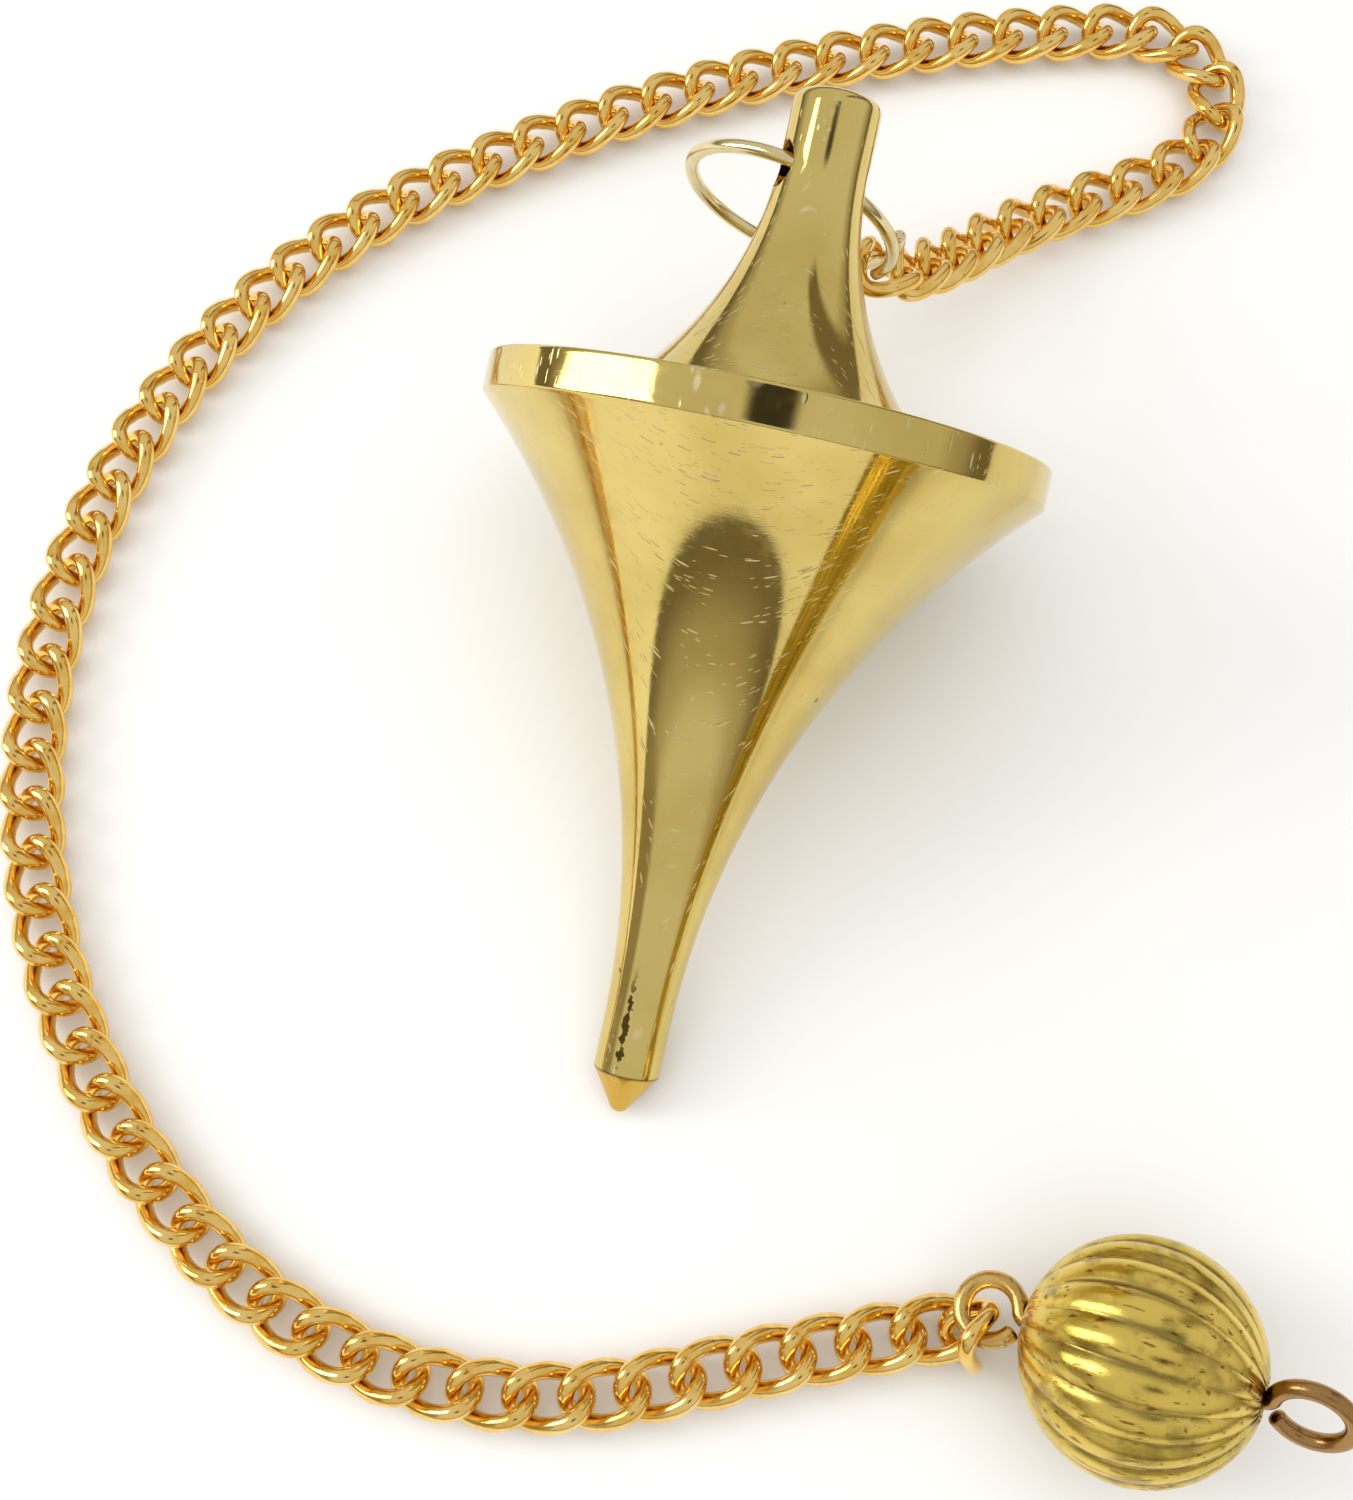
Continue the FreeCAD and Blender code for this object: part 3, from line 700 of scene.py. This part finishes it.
def build_bead():
    """The bead: a thin pressed ball with ribs that run from mouth to mouth, open at both ends."""
    inner_radius, lip_radius = BEAD_RADIUS - BEAD_WALL, BEAD_RADIUS - BEAD_WALL / 2
    outer_angle = math.asin(BEAD_MOUTH / BEAD_RADIUS) + 0.02
    inner_angle = math.asin(BEAD_MOUTH / inner_radius) + 0.02
    outer = [(BEAD_RADIUS, turn) for turn in np.linspace(outer_angle, math.pi - outer_angle, 120)]
    inner = [(inner_radius, turn) for turn in np.linspace(math.pi - inner_angle, inner_angle, 60)]
    lip_in = (lip_radius, math.asin(BEAD_MOUTH / lip_radius) - 0.004)
    lip_out = (lip_radius, math.pi - lip_in[1])
    around = np.linspace(0, 2 * math.pi, FLUTES * 16, endpoint=False)
    rib = np.abs(np.cos(FLUTES * around / 2))
    valley = 1 - rib**0.75
    points, grooves = [], []
    for radius, turn in [lip_in, *outer, lip_out, *inner]:
        fade = math.sin(turn) ** 1.2
        fluted = FLUTE_DEPTH * fade * (0.45 if radius < BEAD_RADIUS - 0.01 else 1.0)
        reach = radius - fluted * valley
        out = reach * math.sin(turn)
        points.append(np.c_[reach * math.cos(turn), out * np.cos(around), out * np.sin(around)])
        grooves.append(valley * fade)
    faces = grid_faces(len(points), len(around), True, True)
    bead = make_piece("fluted_bead_shell", np.vstack(points), faces, bead_brass(), BEAD_PLACEMENT)
    groove = bead.data.attributes.new("groove", "FLOAT", "POINT")
    groove.data.foreach_set("value", np.concatenate(grooves).astype(np.float32))
    standing(bead, "bead", "fluted_bead")


def eye_middle(radius, outward, side):
    """The wire's middle line from the bead's mouth, round the small neck bend and on round the eye."""
    reach = EYE_NECK_START + math.sqrt(radius**2 + 2 * radius * EYE_NECK_RADIUS)
    meet = math.atan2(EYE_NECK_RADIUS, EYE_NECK_START - reach)
    neck = arc((EYE_NECK_START, EYE_NECK_RADIUS), EYE_NECK_RADIUS, -math.pi / 2, meet - math.pi, 14)
    eye = arc((reach, 0), radius, meet, meet - EYE_WOUND, 110)
    flat = np.vstack([neck[:-1], eye])
    return np.outer(flat[:, 0], outward) + np.outer(flat[:, 1], side)


def build_eye_wire():
    """One wire through the bead with an eye bent at each end, more tarnished at the free end."""
    rolled = np.array([0, math.cos(END_EYE_ROLL), math.sin(END_EYE_ROLL)])
    chain_end = eye_middle(CHAIN_EYE_RADIUS, np.array([-1.0, 0, 0]), np.array([0, 1.0, 0]))
    free_end = eye_middle(END_EYE_RADIUS, np.array([1.0, 0, 0]), rolled)
    shank = np.outer(np.linspace(-EYE_NECK_START, EYE_NECK_START, 24), [1.0, 0, 0])
    middle = np.vstack([chain_end[::-1], shank[1:-1], free_end])
    points, faces = tube(middle, EYE_WIRE, 28, False)
    tones = (0.72, 0.48, 0.16), (0.56, 0.34, 0.095), (0.28, 0.15, 0.05)
    metal = wire_metal("eye_wire_look", *tones, 0.22, 0.14, far=(0.33, 0.17, 0.065))
    wire = make_piece("eye_wire_bent", points, faces, metal, BEAD_PLACEMENT)
    standing(wire, "eye_wire", "eye_wire")


# ---------------------------------------------------------------- room, light and camera


def heading(azimuth, rise):
    """The direction at an azimuth from +Y towards +X, and a rise above the table."""
    return Vector((math.sin(azimuth) * math.cos(rise), math.cos(azimuth) * math.cos(rise), math.sin(rise)))


def build_table():
    """A plain pale table under the bob."""
    low = CAD_BOX[0].z
    half = TABLE_SIDE / 2
    mesh = bpy.data.meshes.new("table_top")
    corners = [(-half, -half, low), (half, -half, low), (half, half, low), (-half, half, low)]
    mesh.from_pydata(corners, [], [(0, 1, 2, 3)])
    table = bpy.data.objects.new("table_top", mesh)
    bpy.context.scene.collection.objects.link(table)
    material = bpy.data.materials.new("pale_table")
    material.use_nodes = True
    nodes = Nodes(material.node_tree)
    shader = material.node_tree.nodes["Principled BSDF"]
    place = nodes.add("ShaderNodeTexCoord").outputs["Object"]
    tone = nodes.range(nodes.noise(place, 25.0, 3.0), 0.3, 0.7)
    pale = nodes.mix(tone, rgba((0.90, 0.90, 0.895)), rgba((0.92, 0.92, 0.915)))
    nodes.feed(shader.inputs["Base Color"], pale)
    shader.inputs["Roughness"].default_value = 0.8
    shader.inputs["Specular IOR Level"].default_value = 0.2
    mesh.materials.append(material)


def lobe(nodes, direction, centre, inner, outer):
    """1 within a cone about a direction, fading to 0 at a wider cone."""
    near = nodes.vector("DOT_PRODUCT", direction, tuple(centre)).outputs["Value"]
    return nodes.range(near, math.cos(outer), math.cos(inner))


def build_room():
    """What the metal mirrors: a dim skyline, a paler ceiling, darker corners and the camera overhead."""
    world = bpy.data.worlds.new("studio")
    bpy.context.scene.world = world
    world.use_nodes = True
    tree = world.node_tree
    tree.nodes.clear()
    nodes = Nodes(tree)
    direction = nodes.vector("NORMALIZE", nodes.add("ShaderNodeTexCoord").outputs["Generated"]).outputs[0]
    height = nodes.add("ShaderNodeSeparateXYZ", None, Vector=direction).outputs["Z"]
    low = nodes.range(height, -0.04, 0.16, 0.0, 1.0)
    high = nodes.range(height, 0.14, 0.34, 0.0, 1.0)
    room = nodes.mix(low, rgba((0.22, 0.19, 0.15)), rgba((0.52, 0.48, 0.42)))
    room = nodes.mix(high, room, rgba((0.74, 0.73, 0.71)))
    shades = (
        (heading(math.radians(-122), math.radians(12)), 9, 20, (0.36, 0.31, 0.24)),
        (heading(math.radians(164), math.radians(74)), 6.5, 12, (0.055, 0.05, 0.045)),
    )
    for centre, inner, outer, tone in shades:
        share = lobe(nodes, direction, centre, math.radians(inner), math.radians(outer))
        room = nodes.mix(share, room, rgba(tone))
    flat = nodes.add("ShaderNodeSeparateXYZ", None, Vector=direction)
    azimuth = nodes.math("ARCTAN2", flat.outputs["X"], flat.outputs["Y"])
    aside = nodes.math("ABSOLUTE", nodes.math("SUBTRACT", azimuth, DOOR_HEADING))
    door = nodes.range(aside, math.radians(5), math.radians(10), 1.0, 0.0)
    lintel = math.sin(DOOR_TOP)
    door = nodes.math("MULTIPLY", door, nodes.range(height, lintel, lintel + 0.12, 1.0, 0.0))
    room = nodes.mix(door, room, rgba((0.24, 0.20, 0.15)))
    seen = nodes.add("ShaderNodeLightPath").outputs["Is Camera Ray"]
    room = nodes.mix(seen, room, rgba((0.97, 0.97, 0.97)))
    background = nodes.add("ShaderNodeBackground", None, Color=room, Strength=1.0)
    output = nodes.add("ShaderNodeOutputWorld")
    tree.links.new(background.outputs[0], output.inputs["Surface"])


def add_light(name, place, size, glow, in_mirror):
    """A soft rectangular light that faces the origin. glow is its brightness where the metal mirrors it."""
    light = bpy.data.lights.new(name, "AREA")
    light.shape = "RECTANGLE"
    light.size, light.size_y = size
    light.energy = glow * math.pi * size[0] * size[1]
    lamp = bpy.data.objects.new(name, light)
    lamp.location = place
    lamp.rotation_mode = "QUATERNION"
    lamp.rotation_quaternion = (-Vector(place)).to_track_quat("-Z", "Y")
    lamp.visible_glossy = in_mirror
    lamp.visible_camera = False
    bpy.context.scene.collection.objects.link(lamp)


def build_lights():
    """A window to the left, mirrored in the metal, and a soft fill from above, which isn't."""
    window = heading(WINDOW_HEADING, WINDOW_RISE) * WINDOW_DISTANCE
    add_light("window", window, WINDOW_SIZE, WINDOW_GLOW, True)
    add_light("fill", Vector((0, 0, FILL_HEIGHT)), (FILL_SIDE, FILL_SIDE), FILL_GLOW, False)


def build_camera():
    """The camera, looking steeply down at the bob."""
    camera = bpy.data.objects.new("camera", bpy.data.cameras.new("camera"))
    camera.data.lens = CAMERA_LENS
    camera.data.clip_start, camera.data.clip_end = 0.001, 10.0
    camera.location = CAMERA_PLACE * MM
    camera.rotation_mode = "QUATERNION"
    ahead = heading(CAMERA_HEADING, -CAMERA_DIP)
    camera.rotation_quaternion = ahead.to_track_quat("-Z", "Y") @ Quaternion((0, 0, 1), CAMERA_ROLL)
    bpy.context.scene.collection.objects.link(camera)
    bpy.context.scene.camera = camera


build_bob()
build_ring()
build_chain()
build_bead()
build_eye_wire()
build_table()
build_room()
build_lights()
build_camera()
bpy.context.scene.view_settings.view_transform = "Standard"
